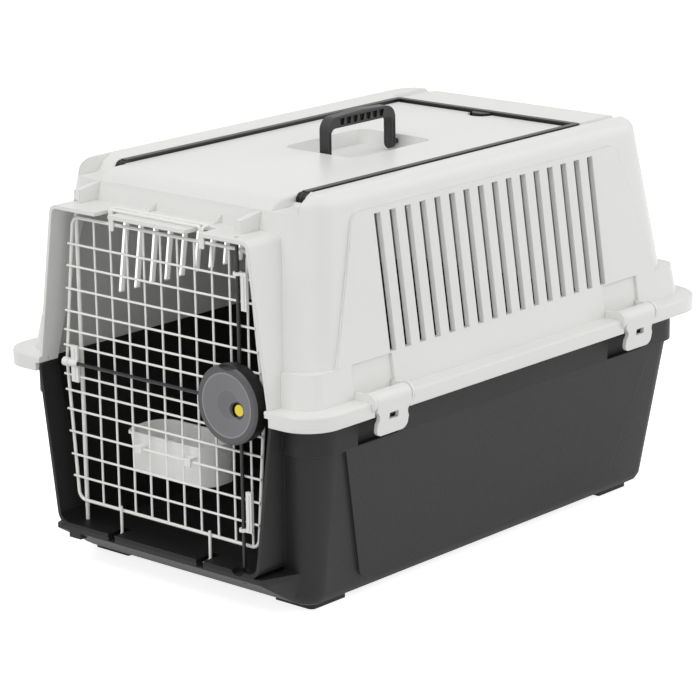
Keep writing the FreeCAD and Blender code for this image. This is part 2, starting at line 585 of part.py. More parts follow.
def make_uprights():
    wires = []
    for k in range(MESH_LEFT, MESH_RIGHT + 1):
        x = k * MESH_PITCH + MESH_SHIFT
        reach = BORDER_R - 2 * WELD
        drop = 3.6 if k == MESH_RIGHT else 0.0
        wires.append(cyl(WIRE_R, (x, DOOR_Y, BORDER_BOTTOM + reach), (x, DOOR_Y, BORDER_TOP - reach - drop)))
    return wires


def row_heights():
    up = [MESH_CENTRE_Z + d for d in MESH_ROWS]
    down = [MESH_CENTRE_Z - d for d in MESH_ROWS]
    return up + down


def make_rows():
    wires = []
    for z in row_heights():
        half = border_half(z) + 2.0
        wires.append(cyl(WIRE_R, (-half, ROW_Y, z), (half, ROW_Y, z)))
    return wires


def make_top_loop():
    y = BORDER_Y - BORDER_R - LOOP_R + WELD
    low = BORDER_TOP - 5
    out = LOOP_X + LOOP_R + 0.15
    rear = bent_rod([(-out, y, low), (-out, y, LOOP_Z), (-out, LOOP_REAR, LOOP_Z), (out, LOOP_REAR, LOOP_Z),
                     (out, y, LOOP_Z), (out, y, low)], LOOP_R, 2.6)
    inn = LOOP_X - LOOP_R - 0.15
    front = bent_rod([(-inn, y, low), (-inn, y, LOOP_Z), (inn, y, LOOP_Z), (inn, y, low)], LOOP_R, 2.6)
    return [rear, front]


def make_sill_legs():
    y = BORDER_Y - BORDER_R - LOOP_R + WELD
    legs = []
    for s in (-1, 1):
        x = s * LOOP_X
        legs.append(bent_rod([(x, y, BORDER_BOTTOM + 5), (x, y, FOOT_Z), (x, 4.0, FOOT_Z)], LOOP_R, 2.8))
    return legs


def make_guide(z_eye, z_far):
    """Moulded plate clipped on the rows beside the rod, with an eye round the rod."""
    z0, z1 = sorted((z_eye, z_far))
    x = ROD_X + 4.5
    y_plate = ROW_Y - WIRE_R - 0.05
    plate = box(x, x + 6.6, y_plate - 3.2, y_plate, z0, z1)
    ridge = box(x + 2.2, x + 4.4, y_plate - 4.2, y_plate - 3.0, z0 + 3, z1 - 3)
    z_ring = z_eye - 3.0 if z_eye > z_far else z_eye
    ring = cyl(ROD_R + 2.4, (ROD_X, ROD_Y, z_ring), (ROD_X, ROD_Y, z_ring + 3.0))
    web = box(ROD_X, x + 3, ROD_Y - 1.6, ROD_Y + 1.6, z_ring, z_ring + 3.0)
    eye = joined(plate, [ridge, ring, web])
    eye = eye.cut(cyl(ROD_R + 0.35, (ROD_X, ROD_Y, z_ring - 1), (ROD_X, ROD_Y, z_ring + 4)))
    return solid_of(eye)


def make_side_guide():
    """Plate on the rows near the hinge, with a sleeve and a wider eye for the side bolt."""
    x_eye = SIDE_TIP + 2.7
    x_plate = x_eye + 9.0
    y_plate = ROW_Y - WIRE_R - 0.05
    plate = box(x_plate, x_plate + 9.0, y_plate - 2.6, y_plate, LOCK_Z - 18, LOCK_Z + 17)
    ridge = box(x_plate + 3.4, x_plate + 5.6, y_plate - 3.6, y_plate - 2.4, LOCK_Z - 15, LOCK_Z + 14)
    ring = cyl(ROD_R + 2.6, (x_eye, ROD_Y, LOCK_Z), (x_eye + 7.0, ROD_Y, LOCK_Z))
    sleeve = cyl(ROD_R + 1.6, (x_eye + 6.0, ROD_Y, LOCK_Z), (x_plate + 9.0, ROD_Y, LOCK_Z))
    hole = cyl(ROD_R + 0.35, (x_eye - 1, ROD_Y, LOCK_Z), (x_plate + 10.0, ROD_Y, LOCK_Z))
    return solid_of(joined(plate, [ridge, ring, sleeve]).cut(hole))


def lock_disc(radius, y0, y1):
    return cyl(radius, (LOCK_X, y0, LOCK_Z), (LOCK_X, y1, LOCK_Z))


def make_back_plate():
    y0 = DOOR_Y + WIRE_R + 0.05
    disc = lock_disc(BACK_PLATE_R, y0, y0 + 3.5)
    hub = lock_disc(7.0, ROW_Y - WIRE_R + 0.2, y0 + 1)
    plate = joined(disc, [hub])
    return solid_of(plate.cut(lock_disc(SCREW_R + 0.05, ROW_Y - 9, y0 + 5)))


def strip(start, end, half, y0, y1):
    """Box along the straight line between two points in x and z, which runs along x or along z."""
    x0, x1 = sorted((start[0], end[0]))
    z0, z1 = sorted((start[1], end[1]))
    if x1 - x0 < z1 - z0:
        return box(x0 - half, x1 + half, y0, y1, z0, z1)
    return box(x0, x1, y0, y1, z0 - half, z1 + half)


def make_housing():
    y1 = ROW_Y - WIRE_R - 0.05
    y0 = CAM_BACK + 0.5
    body = joined(lock_disc(KNOB_R - 0.6, KNOB_BACK + 0.4, y1), [lock_disc(KNOB_R - KNOB_SKIN - 0.8, y0, y1)])
    body = body.cut(lock_disc(SCREW_R + 0.05, y0 - 1, y1 + 1))
    cuts = []
    clear = ROD_R + 0.35
    for (sx, sz), (ux, uz), throw in BOLTS:
        px, pz = LOCK_X + sx, LOCK_Z + sz
        near = (px - 4 * ux, pz - 4 * uz)
        far = (px + 40 * ux, pz + 40 * uz)
        reach = throw + PEG_R + 0.6
        cuts.append(cyl(clear, (near[0], ROD_Y, near[1]), (far[0], ROD_Y, far[1])))
        cuts.append(strip(near, (px + reach * ux, pz + reach * uz), PEG_R + 0.3, y0 - 1, ROD_Y))
        cuts.append(strip(near, far, clear, ROD_Y, y1 + 1))
    return solid_of(body.cut(cuts))


def window_place():
    a = radians(WINDOW_ANGLE)
    return LOCK_X + WINDOW_AT * cos(a), LOCK_Z + WINDOW_AT * sin(a)


def make_knob():
    y = (KNOB_FRONT, KNOB_BACK)
    rim = cyl(KNOB_R, (LOCK_X, y[0] + 2.2, LOCK_Z), (LOCK_X, y[1], LOCK_Z))
    nose = Part.makeCone(KNOB_R - 2.0, KNOB_R, 2.2, V(LOCK_X, y[0], LOCK_Z), V(0, 1, 0))
    knob = joined(rim, [nose])
    dish = Part.makeCone(DISH_R, DISH_FLAT_R, DISH_DEEP, V(LOCK_X, y[0], LOCK_Z), V(0, 1, 0))
    hollow = lock_disc(KNOB_R - KNOB_SKIN, CAM_FRONT - 0.05, y[1] + 1)
    thumb_z = LOCK_Z + KNOB_R + THUMB_R - THUMB_DEEP
    thumb = cyl(THUMB_R, (LOCK_X, y[0] - 1, thumb_z), (LOCK_X, (y[0] + y[1]) / 2, thumb_z))
    knob = knob.cut([dish, hollow, thumb])
    wx, wz = window_place()
    knob = knob.cut(cyl(WINDOW_R, (wx, y[0] - 1, wz), (wx, WINDOW_FLOOR, wz)))
    knob = knob.cut(lock_disc(SCREW_R + PIVOT_PLAY, CAM_FRONT - 2.6, CAM_FRONT + 1))
    return solid_of(knob)


def cam_point(bolt, turn):
    """Where a bolt's peg stands on the cam, in x and z from its axis, after that share of the quarter turn."""
    (sx, sz), (ux, uz), throw = bolt
    x = sx + ux * throw * turn
    z = sz + uz * throw * turn
    a = pi / 2 * turn
    return V(x * cos(a) - z * sin(a), 0, x * sin(a) + z * cos(a))


def cam_way(bolt, turn):
    """Direction of the peg's path on the cam."""
    step = cam_point(bolt, turn + 0.01) - cam_point(bolt, turn - 0.01)
    return step * (1.0 / step.Length)


def make_cam():
    cam = lock_disc(CAM_R, CAM_FRONT, CAM_BACK).cut(lock_disc(SCREW_R + PIVOT_PLAY, CAM_FRONT - 1, CAM_BACK + 1))
    steps = 14
    width = PEG_R + PEG_PLAY
    axis = V(LOCK_X, CAM_FRONT - 1, LOCK_Z)
    for bolt in BOLTS:
        spine = [cam_point(bolt, i / steps) for i in range(steps + 1)]
        ways = [cam_way(bolt, i / steps) for i in range(steps + 1)]
        left = [axis + p + V(-w.z, 0, w.x) * width for p, w in zip(spine, ways)]
        right = [axis + p - V(-w.z, 0, w.x) * width for p, w in zip(spine, ways)]
        edges = []
        for i in range(0, steps, 2):
            edges.append(Part.Arc(left[i], left[i + 1], left[i + 2]).toShape())
        edges.append(Part.Arc(left[-1], axis + spine[-1] + ways[-1] * width, right[-1]).toShape())
        for i in range(steps, 0, -2):
            edges.append(Part.Arc(right[i], right[i - 1], right[i - 2]).toShape())
        edges.append(Part.Arc(right[0], axis + spine[0] - ways[0] * width, left[0]).toShape())
        slot = Part.Face(Part.Wire(edges)).extrude(V(0, CAM_BACK - CAM_FRONT + 2, 0))
        cam = cam.cut(slot)
    return solid_of(cam)


def make_screw():
    back = DOOR_Y + WIRE_R + 0.05 + 3.5
    shank = lock_disc(SCREW_R, CAM_FRONT - 2.4, back + 0.5)
    head = lock_disc(4.2, back + 0.05, back + 2.4)
    slot = box(LOCK_X - 4, LOCK_X + 4, back + 1.6, back + 3, LOCK_Z - 0.5, LOCK_Z + 0.5)
    return solid_of(joined(shank, [head]).cut(slot))


def make_indicator():
    wx, wz = window_place()
    return cyl(BUTTON_R, (wx, WINDOW_FLOOR - BUTTON_TALL, wz), (wx, WINDOW_FLOOR, wz))


def make_bolt(bolt, tip):
    (sx, sz), (ux, uz), throw = bolt
    px, pz = LOCK_X + sx, LOCK_Z + sz
    end = (tip, ROD_Y, pz) if ux else (px, ROD_Y, tip)
    rod = cyl(ROD_R, (px - 3 * ux, ROD_Y, pz - 3 * uz), end)
    peg = cyl(PEG_R, (px, ROD_Y, pz), (px, CAM_FRONT + 0.3, pz))
    return solid_of(joined(rod, [peg]))


def make_latch(side, y):
    half = LATCH_LONG / 2
    barrel = cyl(LATCH_R, (LATCH_X, y - half, LATCH_Z), (LATCH_X, y + half, LATCH_Z))
    edge = LATCH_X + LATCH_R
    plate = prism_y([(edge - 4.6, LATCH_Z), (edge, LATCH_Z), (edge - 1.6, LUG_LOW), (edge - 4.5, LATCH_LOW),
                     (edge - 8.0, LATCH_LOW), (edge - 5.6, LUG_LOW)], 0, y - half, y + half)
    w = LATCH_TONGUE / 2
    face = [(y - half, LATCH_Z + 9), (y + half, LATCH_Z + 9), (y + half, LATCH_Z - 8), (y + w - 2, LATCH_Z - 13),
            (y + w - 2, LATCH_Z - 16), (y + w, LATCH_Z - 20), (y + w, LATCH_LOW), (y - w, LATCH_LOW),
            (y - w, LATCH_Z - 20), (y - w + 2, LATCH_Z - 16), (y - w + 2, LATCH_Z - 13), (y - half, LATCH_Z - 8)]
    face = prism_x(face, [0, 0, 0, 1, 1, 1, 7, 7, 1, 1, 1, 0], LATCH_X - 15, LATCH_X + 20)
    latch = joined(barrel, [plate]).common(face)
    latch = latch.cut(cyl(LATCH_PIN_R + PIVOT_PLAY, (LATCH_X, y - half - 1, LATCH_Z), (LATCH_X, y + half + 1, LATCH_Z)))
    latch = latch.cut(box(LATCH_X - 4.5, LATCH_X + 20, y - LUG_HALF - 1.4, y + LUG_HALF + 1.4, LUG_LOW - 1.6, LUG_HIGH + 1.0))
    latch = solid_of(latch)
    return latch if side > 0 else latch.mirror(V(0, 0, 0), V(1, 0, 0))


def make_handle():
    wide = HANDLE_WIDE / 2
    y0, y1 = HANDLE_Y0, HANDLE_Y1
    low = HANDLE_PIVOT_Z - wide
    crown = HANDLE_TOP - HANDLE_CROWN
    outer = prism_x([(y0, low), (y1, low), (y1, crown), ((y0 + y1) / 2, HANDLE_TOP + 0.2), (y0, crown)],
                    [0, 0, 13, 120, 13], -wide, wide)
    inner = prism_x([(y0 + HANDLE_BAR, low - 1), (y1 - HANDLE_BAR, low - 1),
                     (y1 - HANDLE_BAR, HANDLE_TOP - GRIP_TALL), (y0 + HANDLE_BAR, HANDLE_TOP - GRIP_TALL)],
                    [0, 0, 6, 6], -wide - 1, wide + 1)
    arch = outer.cut(inner)
    ends = prism_y([(-wide, low), (wide, low), (wide, HANDLE_TOP + 1), (-wide, HANDLE_TOP + 1)],
                   [wide - 0.05, wide - 0.05, 3.2, 3.2], y0 - 1, y1 + 1)
    arch = arch.common(ends)
    pockets = []
    count = 7
    pitch = 9.4
    first = (y0 + y1) / 2 - pitch * (count - 1) / 2
    for k in range(count):
        y = first + k * pitch
        bottom, top = HANDLE_TOP - GRIP_TALL + 1.9, crown - 1.6
        outline = [(y - 2.2, bottom), (y + 2.2, bottom), (y + 3.8, top), (y - 3.8, top)]
        for x0, x1 in ((-wide - 1, -wide + 3.4), (wide - 3.4, wide + 1)):
            pockets.append(prism_x(outline, 0.5, x0, x1))
    for x0, x1 in ((-wide - 1, -wide + 0.9), (wide - 0.9, wide + 1)):
        for a, b in ((y0 + 1.3, y0 + HANDLE_BAR - 1.2), (y1 - HANDLE_BAR + 1.2, y1 - 1.3)):
            pockets.append(box(x0, x1, a, b, low + 9, HANDLE_TOP - 16))
    arch = arch.cut(pockets)
    pins = [cyl(HANDLE_PIN_R, (0, RECESS_FRONT - 1.5, HANDLE_PIVOT_Z), (0, y0 + 1, HANDLE_PIVOT_Z)),
            cyl(HANDLE_PIN_R, (0, y1 - 1, HANDLE_PIVOT_Z), (0, RECESS_REAR + 1.5, HANDLE_PIVOT_Z))]
    return solid_of(joined(arch, pins))


def make_bail():
    half = BAIL_WIDE / 2
    out = BAIL_X + half
    inn = BAIL_X - half
    rear_in = BAIL_REAR - BAIL_WIDE
    plan = prism_z([(-out, BAIL_PIVOT_Y), (-out, BAIL_REAR), (out, BAIL_REAR), (out, BAIL_PIVOT_Y), (inn, BAIL_PIVOT_Y),
                    (inn, rear_in), (-inn, rear_in), (-inn, BAIL_PIVOT_Y)], [0, 4, 4, 0, 0, 1.5, 1.5, 0],
                   BAIL_LOW, BAIL_HIGH)
    moon = Part.makeCylinder(11.5, 3.0, V(0, rear_in + 1, BAIL_HIGH - 4.0))
    moon = moon.cut(box(-20, 20, rear_in + 1, rear_in + 20, BAIL_LOW, BAIL_HIGH + 1))
    adds = [moon]
    for s in (-1, 1):
        x0, x1 = sorted((s * (GROOVE_IN + 0.5), s * (GROOVE_OUT - 0.3)))
        knuckle = cyl(BAIL_KNUCKLE_R, (x0, BAIL_PIVOT_Y, BAIL_PIVOT_Z), (x1, BAIL_PIVOT_Y, BAIL_PIVOT_Z))
        for t in (0.3, 0.7):
            x = mix(x0, x1, t)
            groove = cyl(BAIL_KNUCKLE_R + 1, (x - 0.5, BAIL_PIVOT_Y, BAIL_PIVOT_Z), (x + 0.5, BAIL_PIVOT_Y, BAIL_PIVOT_Z))
            core = cyl(BAIL_KNUCKLE_R - 0.8, (x - 1, BAIL_PIVOT_Y, BAIL_PIVOT_Z), (x + 1, BAIL_PIVOT_Y, BAIL_PIVOT_Z))
            knuckle = knuckle.cut(groove.cut(core))
        adds.append(knuckle)
        x0, x1 = sorted((s * (GROOVE_IN - 2.6), s * (GROOVE_OUT + 6.0)))
        adds.append(cyl(BAIL_PIN_R, (x0, BAIL_PIVOT_Y, BAIL_PIVOT_Z), (x1, BAIL_PIVOT_Y, BAIL_PIVOT_Z)))
    return solid_of(joined(plan, adds))


def make_feet():
    feet = []
    for s in (-1, 1):
        x0, x1 = sorted((s * (FOOT_OUT - FOOT_LONG), s * FOOT_OUT))
        for y0, y1 in ((FOOT_FRONT, FOOT_FRONT + FOOT_LONG), (FOOT_REAR - FOOT_LONG, FOOT_REAR)):
            corner = []
            for x, y in ((x0, y0), (x1, y0), (x1, y1), (x0, y1)):
                outer = abs(abs(x) - FOOT_OUT) < 0.1 and y in (FOOT_FRONT, FOOT_REAR)
                corner.append(5.0 if outer else 2.0)
            feet.append(prism_z([(x0, y0), (x1, y0), (x1, y1), (x0, y1)], corner, 0, BASE_BOTTOM))
    return feet


def make_bowl():
    def outline(off, z):
        x0, x1 = BOWL_X - BOWL_HALF + off, BOWL_X + BOWL_HALF - off
        y0, y1 = BOWL_FRONT + off, BOWL_FRONT + BOWL_DEEP - off
        wide = BOWL_BULGE
        pts = [(x0, y0, z), (x1, y0, z), (x1 + wide, y0 + 14, z), (x1 + wide, y1, z), (x0 - wide, y1, z),
               (x0 - wide, y0 + 14, z)]
        return rounded(pts, [2.0, 2.0, 10.0, BOWL_R - off, BOWL_R - off, 10.0])
    low_in = 2.5
    outer = loft([outline(low_in, BOWL_LOW), outline(0, BOWL_HIGH)])
    inner = loft([outline(low_in + BOWL_WALL, BOWL_LOW + BOWL_WALL), outline(BOWL_WALL, BOWL_HIGH + 0.5)])
    lip = Part.Face(outline(-1.6, BOWL_HIGH - 3.0)).extrude(V(0, 0, 3.0))
    wide = BOWL_HALF + BOWL_BULGE + 5
    front = box(BOWL_X - wide, BOWL_X + wide, BOWL_FRONT - 5, BOWL_FRONT, BOWL_LOW, BOWL_HIGH + 1)
    bowl = joined(outer, [lip.cut(front)]).cut(inner)
    row = MESH_CENTRE_Z - MESH_ROWS[3]
    hooks = []
    for x in (MESH_SHIFT - 1.5 * MESH_PITCH, MESH_SHIFT + 1.45 * MESH_PITCH):
        top = row + WIRE_R + 0.25
        hook = box(x - 4, x + 4, ROW_Y - WIRE_R - 2.2, BOWL_FRONT + 2.4, top, top + 2.2)
        lip_front = box(x - 4, x + 4, ROW_Y - WIRE_R - 2.2, ROW_Y - WIRE_R - 0.35, row - 4.0, top + 2.2)
        hooks += [hook, lip_front]
    return solid_of(joined(bowl, hooks))


def group(shapes):
    return Part.makeCompound(shapes)


nodes = {
    "base_shell": make_base(),
    "top_shell": make_top(),
    "foot_pads": group(make_feet()),
    "door_border": make_border(),
    "door_hinge_rod": make_hinge_rod(),
    "door_uprights": group(make_uprights()),
    "door_rows": group(make_rows()),
    "door_top_loop": group(make_top_loop()),
    "door_sill_legs": group(make_sill_legs()),
    "rod_guide_upper": make_guide(BORDER_TOP - GUIDE_DROP, BORDER_TOP - GUIDE_DROP - UPPER_GUIDE_LONG),
    "rod_guide_lower": make_guide(BORDER_BOTTOM + GUIDE_RISE, BORDER_BOTTOM + GUIDE_RISE + LOWER_GUIDE_LONG),
    "rod_guide_side": make_side_guide(),
    "lock_back_plate": make_back_plate(),
    "lock_housing": make_housing(),
    "lock_knob": make_knob(),
    "lock_cam": make_cam(),
    "lock_screw": make_screw(),
    "lock_indicator": make_indicator(),
    "bolt_upper": make_bolt(UPPER_BOLT, COLLAR_TOP - LEDGE - 1.2),
    "bolt_lower": make_bolt(LOWER_BOLT, SILL_TOP + 1.2),
    "bolt_side": make_bolt(SIDE_BOLT, SIDE_TIP),
    "feeding_bowl": make_bowl(),
    "latch_front_right": make_latch(1, LATCH_Y[0]),
    "latch_rear_right": make_latch(1, LATCH_Y[1]),
    "latch_front_left": make_latch(-1, LATCH_Y[0]),
    "latch_rear_left": make_latch(-1, LATCH_Y[1]),
    "carry_handle": make_handle(),
    "pull_bail": make_bail(),
}

shift = V(0, -(min(FLANGE_FRONT, KNOB_FRONT) + FLANGE_REAR) / 2, 0)
for name, shape in nodes.items():
    moved = shape.copy()
    moved.translate(shift)
    moved.exportStep("parts/" + name + ".step")
    print(name, len(moved.Solids), moved.isValid(), round(moved.Volume / 1000.0, 2), moved.BoundBox)
print("shift", shift)
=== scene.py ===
"""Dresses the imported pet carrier: procedural materials, the cover's inner lip, studio stage and camera."""
import json
import math

import bmesh
import bpy
from mathutils import Matrix, Vector


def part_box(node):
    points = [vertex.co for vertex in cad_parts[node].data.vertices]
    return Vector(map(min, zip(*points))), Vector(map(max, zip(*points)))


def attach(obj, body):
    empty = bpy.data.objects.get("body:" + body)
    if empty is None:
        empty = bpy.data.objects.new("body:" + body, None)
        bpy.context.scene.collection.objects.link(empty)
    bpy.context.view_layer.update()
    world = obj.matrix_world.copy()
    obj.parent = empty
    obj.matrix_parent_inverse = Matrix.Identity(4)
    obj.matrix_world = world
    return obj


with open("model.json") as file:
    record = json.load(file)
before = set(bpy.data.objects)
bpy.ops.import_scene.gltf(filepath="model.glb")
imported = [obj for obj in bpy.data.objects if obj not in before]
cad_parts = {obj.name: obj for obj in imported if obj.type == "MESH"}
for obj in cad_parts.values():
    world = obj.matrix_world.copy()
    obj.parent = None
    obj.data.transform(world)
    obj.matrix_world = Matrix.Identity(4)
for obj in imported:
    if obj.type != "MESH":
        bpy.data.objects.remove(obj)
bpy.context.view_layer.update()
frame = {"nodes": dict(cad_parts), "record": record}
nodes = frame["nodes"]

MM = 0.001
WHITE = (1.0, 1.0, 1.0, 1.0)

# Camera, solved from the photograph's straight edges.
# Lengths in millimetres, from the floor under the collar's front.
IMAGE_SIDE = 700.0
SENSOR = 36.0
FOCAL_PX = 3043.0
CAM_AZIMUTH = math.radians(41.75)
CAM_ELEVATION = math.radians(15.21)
CAM_ROLL = math.radians(0.86)
CAM_DISTANCE = 2795.7
CAM_AIM_RIGHT = 180.1
CAM_AIM_UP = 220.6
COLLAR_FRONT_Y = -292.5
CLIP_NEAR = 0.05
CLIP_FAR = 60.0

# Noise of the plastics: broad clouds in the colour, fine grain in the bump and the gloss.
NOISE_LOW = 0.2
NOISE_HIGH = 0.8
CLOUD_SCALE = 9.0
CLOUD_DETAIL = 3.0
CLOUD_ROUGH = 0.5
GRAIN_DETAIL = 2.0
GRAIN_ROUGH = 0.6
GLOSS_SPREAD = 0.04

# Painted highlight on edges: where the rounded normal leaves the flat one, the colour is paler, in place of
# the shine of a rounded edge.
BEVEL_SAMPLES = 4
EDGE_SHINE_NONE = 0.995
EDGE_SHINE_FULL = 0.90
EDGE_SHINE_GAIN = 1.5
EDGE_SHINE_LIFT = 0.05

# Facets of the CAD meshes: points closer than this are one, and edges flatter than this are smooth.
MERGE_DISTANCE = 0.000005
SMOOTH_ANGLE = math.radians(26.0)

# Lip of the cover's flange, in millimetres.
# It hangs behind the tub's rim at the rear and closes the seam there.
LIP_HALF = 184.9
LIP_REAR = 270.4
LIP_CORNER = 29.0
LIP_THICK = 5.0
LIP_LOW = 183.0
LIP_HIGH = 198.4
LIP_START = 226.0
LIP_STEPS = 10
LIP_EDGE = 0.6
LIP_EDGE_STEPS = 2

# Stage.
FLOOR_HALF = 12.0
FLOOR_GREY = (0.8, 0.8, 0.8, 1.0)
FLOOR_ROUGH = 0.9
FLOOR_GLOW = 0.82
WORLD_LIGHT = 0.50


def linear(channel):
    """One sRGB channel, 0 to 255, as linear light."""
    c = channel / 255.0
    return c / 12.92 if c <= 0.04045 else ((c + 0.055) / 1.055) ** 2.4


def srgb(red, green, blue):
    return (linear(red), linear(green), linear(blue), 1.0)


def scaled(colour, gain, lift=0.0):
    """A colour made paler or darker, no channel above 1."""
    return [min(1.0, c * gain + lift) for c in colour[:3]] + [1.0]


# Painted shade on the sill inside the doorway.
SILL_HALF = 0.126
SILL_DEEP = 0.051
SILL_LOW = 0.0405
SILL_HIGH = 0.060
SILL_SOFT = 0.0006
SILL_PAINTED_SHADE = srgb(11, 11, 11)

# Knob: the rings of its face, with painted shade on the flat middle and a painted highlight round the dish,
# the side behind it, and painted shade in the window beside the button.
DISH_R = 0.0286
DISH_FLAT_R = 0.0125
RING_SOFT = 0.0005
SIDE_DEEP = (0.0019, 0.0025)
SIDE_R = (0.033, 0.034)
SHADE_SPOT_R = 0.0064
SHADE_SPOT_SHIFT = 0.0042
KNOB_MIDDLE_SHADE = srgb(106, 106, 109)
KNOB_RIM_HIGHLIGHT = srgb(140, 140, 142)
KNOB_RING = srgb(78, 78, 80)
KNOB_SIDE = srgb(32, 32, 33)
WINDOW_SHADE = srgb(12, 12, 12)


def link(tree, source, target):
    tree.links.new(source, target)


def add_node(tree, kind, **settings):
    node = tree.nodes.new(kind)
    for key, value in settings.items():
        setattr(node, key, value)
    return node


def shader_of(material):
    return material.node_tree.nodes["Principled BSDF"]


def maths(tree, operation, first, second):
    """A maths node on two numbers or sockets."""
    node = add_node(tree, "ShaderNodeMath", operation=operation)
    for socket, value in zip(node.inputs, (first, second)):
        if isinstance(value, (int, float)):
            socket.default_value = value
        else:
            link(tree, value, socket)
    return node.outputs["Value"]


def noise_on(tree, coords, scale, detail, rough):
    noise = add_node(tree, "ShaderNodeTexNoise")
    noise.inputs["Scale"].default_value = scale
    noise.inputs["Detail"].default_value = detail
    noise.inputs["Roughness"].default_value = rough
    link(tree, coords, noise.inputs["Vector"])
    return noise.outputs["Fac"]


def remap(tree, value, low, high):
    """Spreads a noise over low to high, without hard steps at its ends."""
    ramp = add_node(tree, "ShaderNodeMapRange", interpolation_type="SMOOTHERSTEP")
    ramp.inputs["From Min"].default_value = NOISE_LOW
    ramp.inputs["From Max"].default_value = NOISE_HIGH
    ramp.inputs["To Min"].default_value = low
    ramp.inputs["To Max"].default_value = high
    link(tree, value, ramp.inputs["Value"])
    return ramp.outputs["Result"]


def between(tree, value, low, high):
    """0 below low, 1 above high, smooth in between."""
    ramp = add_node(tree, "ShaderNodeMapRange", interpolation_type="SMOOTHSTEP")
    ramp.inputs["From Min"].default_value = low
    ramp.inputs["From Max"].default_value = high
    link(tree, value, ramp.inputs["Value"])
    return ramp.outputs["Result"]


def within(tree, value, limit):
    """1 below the limit, 0 above it."""
    return maths(tree, "SUBTRACT", 1.0, between(tree, value, limit, limit + RING_SOFT))


def painted_edge_highlight(tree, under, colour, bevel, edge_shine):
    """Paints a highlight: lays a paler colour over the edges, where the bevel's normal differs from the
    face's.
    """
    geometry = add_node(tree, "ShaderNodeNewGeometry")
    dot = add_node(tree, "ShaderNodeVectorMath", operation="DOT_PRODUCT")
    link(tree, geometry.outputs["Normal"], dot.inputs[0])
    link(tree, bevel.outputs["Normal"], dot.inputs[1])
    share = add_node(tree, "ShaderNodeMapRange")
    share.inputs["From Min"].default_value = EDGE_SHINE_NONE
    share.inputs["From Max"].default_value = EDGE_SHINE_FULL
    share.inputs["To Max"].default_value = edge_shine
    link(tree, dot.outputs["Value"], share.inputs["Value"])
    shine_mix = add_node(tree, "ShaderNodeMix", data_type="RGBA")
    shine_mix.inputs["B"].default_value = scaled(colour, EDGE_SHINE_GAIN, EDGE_SHINE_LIFT)
    link(tree, under, shine_mix.inputs["A"])
    link(tree, share.outputs["Result"], shine_mix.inputs["Factor"])
    return shine_mix.outputs["Result"]


def moulded(name, colour, rough, grain_scale, grain_height, vary, edge, edge_shine=0.0):
    """Moulded plastic: cloudy colour, fine grain in bump and gloss, rounded edges, and a painted highlight
    on the edges.

    The gloss follows the fine grain. On the pale plastics, clouds in it showed as patches with hard edges.
    """
    material = bpy.data.materials.new(name)
    material.use_nodes = True
    tree = material.node_tree
    shader = shader_of(material)
    coords = add_node(tree, "ShaderNodeTexCoord").outputs["Object"]

    cloud = noise_on(tree, coords, CLOUD_SCALE, CLOUD_DETAIL, CLOUD_ROUGH)
    mix = add_node(tree, "ShaderNodeMix", data_type="RGBA")
    mix.inputs["A"].default_value = scaled(colour, 1.0 - vary)
    mix.inputs["B"].default_value = scaled(colour, 1.0 + vary)
    link(tree, remap(tree, cloud, 0.0, 1.0), mix.inputs["Factor"])
    colour_out = mix.outputs["Result"]

    bevel = add_node(tree, "ShaderNodeBevel", samples=BEVEL_SAMPLES)
    bevel.inputs["Radius"].default_value = edge
    if edge_shine > 0.0:
        colour_out = painted_edge_highlight(tree, colour_out, colour, bevel, edge_shine)
    link(tree, colour_out, shader.inputs["Base Color"])

    grain = noise_on(tree, coords, grain_scale, GRAIN_DETAIL, GRAIN_ROUGH)
    bump = add_node(tree, "ShaderNodeBump")
    bump.inputs["Strength"].default_value = 1.0
    bump.inputs["Distance"].default_value = grain_height
    link(tree, grain, bump.inputs["Height"])
    link(tree, bevel.outputs["Normal"], bump.inputs["Normal"])
    link(tree, bump.outputs["Normal"], shader.inputs["Normal"])
    gloss = remap(tree, grain, rough - GLOSS_SPREAD, rough + GLOSS_SPREAD)
    link(tree, gloss, shader.inputs["Roughness"])
    return material


def tint(tree, colour, factor):
    """Lays one more colour over the shader's present colour, by the factor."""
    shader = tree.nodes["Principled BSDF"]
    under = shader.inputs["Base Color"].links[0].from_socket
    mix = add_node(tree, "ShaderNodeMix", data_type="RGBA")
    mix.inputs["B"].default_value = colour
    link(tree, under, mix.inputs["A"])
    link(tree, factor, mix.inputs["Factor"])
    link(tree, mix.outputs["Result"], shader.inputs["Base Color"])


def object_axes(tree):
    split = add_node(tree, "ShaderNodeSeparateXYZ")
    link(tree, add_node(tree, "ShaderNodeTexCoord").outputs["Object"], split.inputs["Vector"])
    return split.outputs


def distance_from(tree, axes, node_name, shift=0.0):
    """Distance in x and z from the middle of a round node of the lock, or from a point beside it in x."""
    low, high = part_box(node_name)
    x = maths(tree, "SUBTRACT", axes["X"], (low[0] + high[0]) / 2 + shift)
    z = maths(tree, "SUBTRACT", axes["Z"], (low[2] + high[2]) / 2)
    square = maths(tree, "ADD", maths(tree, "MULTIPLY", x, x), maths(tree, "MULTIPLY", z, z))
    return maths(tree, "SQRT", square, 0.0)


